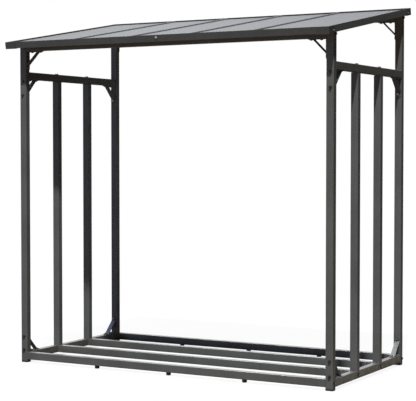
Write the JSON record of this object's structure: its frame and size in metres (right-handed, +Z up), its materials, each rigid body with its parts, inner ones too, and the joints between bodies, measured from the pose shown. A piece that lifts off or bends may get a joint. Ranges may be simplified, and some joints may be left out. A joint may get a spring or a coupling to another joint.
{
  "type": "log store",
  "caption": "Open steel tube log store with slatted sides, a barred floor on small feet, triangular corner braces and a shallow sloping sheet roof.",
  "frame": {"origin": "on the ground under the middle of the outline, roof included", "axes": "+X to the right seen from the front, +Y to the rear where the roof is higher, +Z up"},
  "size_m": [1.43, 0.8178, 1.45],
  "materials": {
    "frame_tube": "satin",
    "brace_steel": "satin",
    "edge_profile": "satin",
    "corner_cover": "satin",
    "roof_sheet": "satin",
    "foot_plastic": "matte"
  },
  "bodies": {
    "root": {"front_left_post": "frame_tube", "front_right_post": "frame_tube", "rear_left_post": "frame_tube", "rear_right_post": "frame_tube", "front_base_rail": "frame_tube", "rear_base_rail": "frame_tube", "left_base_rail": "frame_tube", "right_base_rail": "frame_tube", "front_floor_bar": "frame_tube", "rear_floor_bar": "frame_tube", "left_top_rail": "frame_tube", "right_top_rail": "frame_tube", "left_front_upright": "frame_tube", "left_rear_upright": "frame_tube", "right_front_upright": "frame_tube", "right_rear_upright": "frame_tube", "front_beam": "frame_tube", "rear_beam": "frame_tube", "front_left_roof_brace": "brace_steel", "front_right_roof_brace": "brace_steel", "rear_left_roof_brace": "brace_steel", "rear_right_roof_brace": "brace_steel", "left_front_rail_brace": "brace_steel", "left_rear_rail_brace": "brace_steel", "right_front_rail_brace": "brace_steel", "right_rear_rail_brace": "brace_steel", "left_front_base_brace": "brace_steel", "left_rear_base_brace": "brace_steel", "right_front_base_brace": "brace_steel", "right_rear_base_brace": "brace_steel", "front_fascia": "edge_profile", "rear_fascia": "edge_profile", "left_fascia": "edge_profile", "right_fascia": "edge_profile", "roof_corner_covers": "corner_cover", "left_outer_panel": "roof_sheet", "left_inner_panel": "roof_sheet", "middle_panel": "roof_sheet", "right_inner_panel": "roof_sheet", "right_outer_panel": "roof_sheet", "roof_seam_strips": "roof_sheet", "post_end_caps": "foot_plastic", "rail_feet": "foot_plastic"}
  },
  "joints": []
}
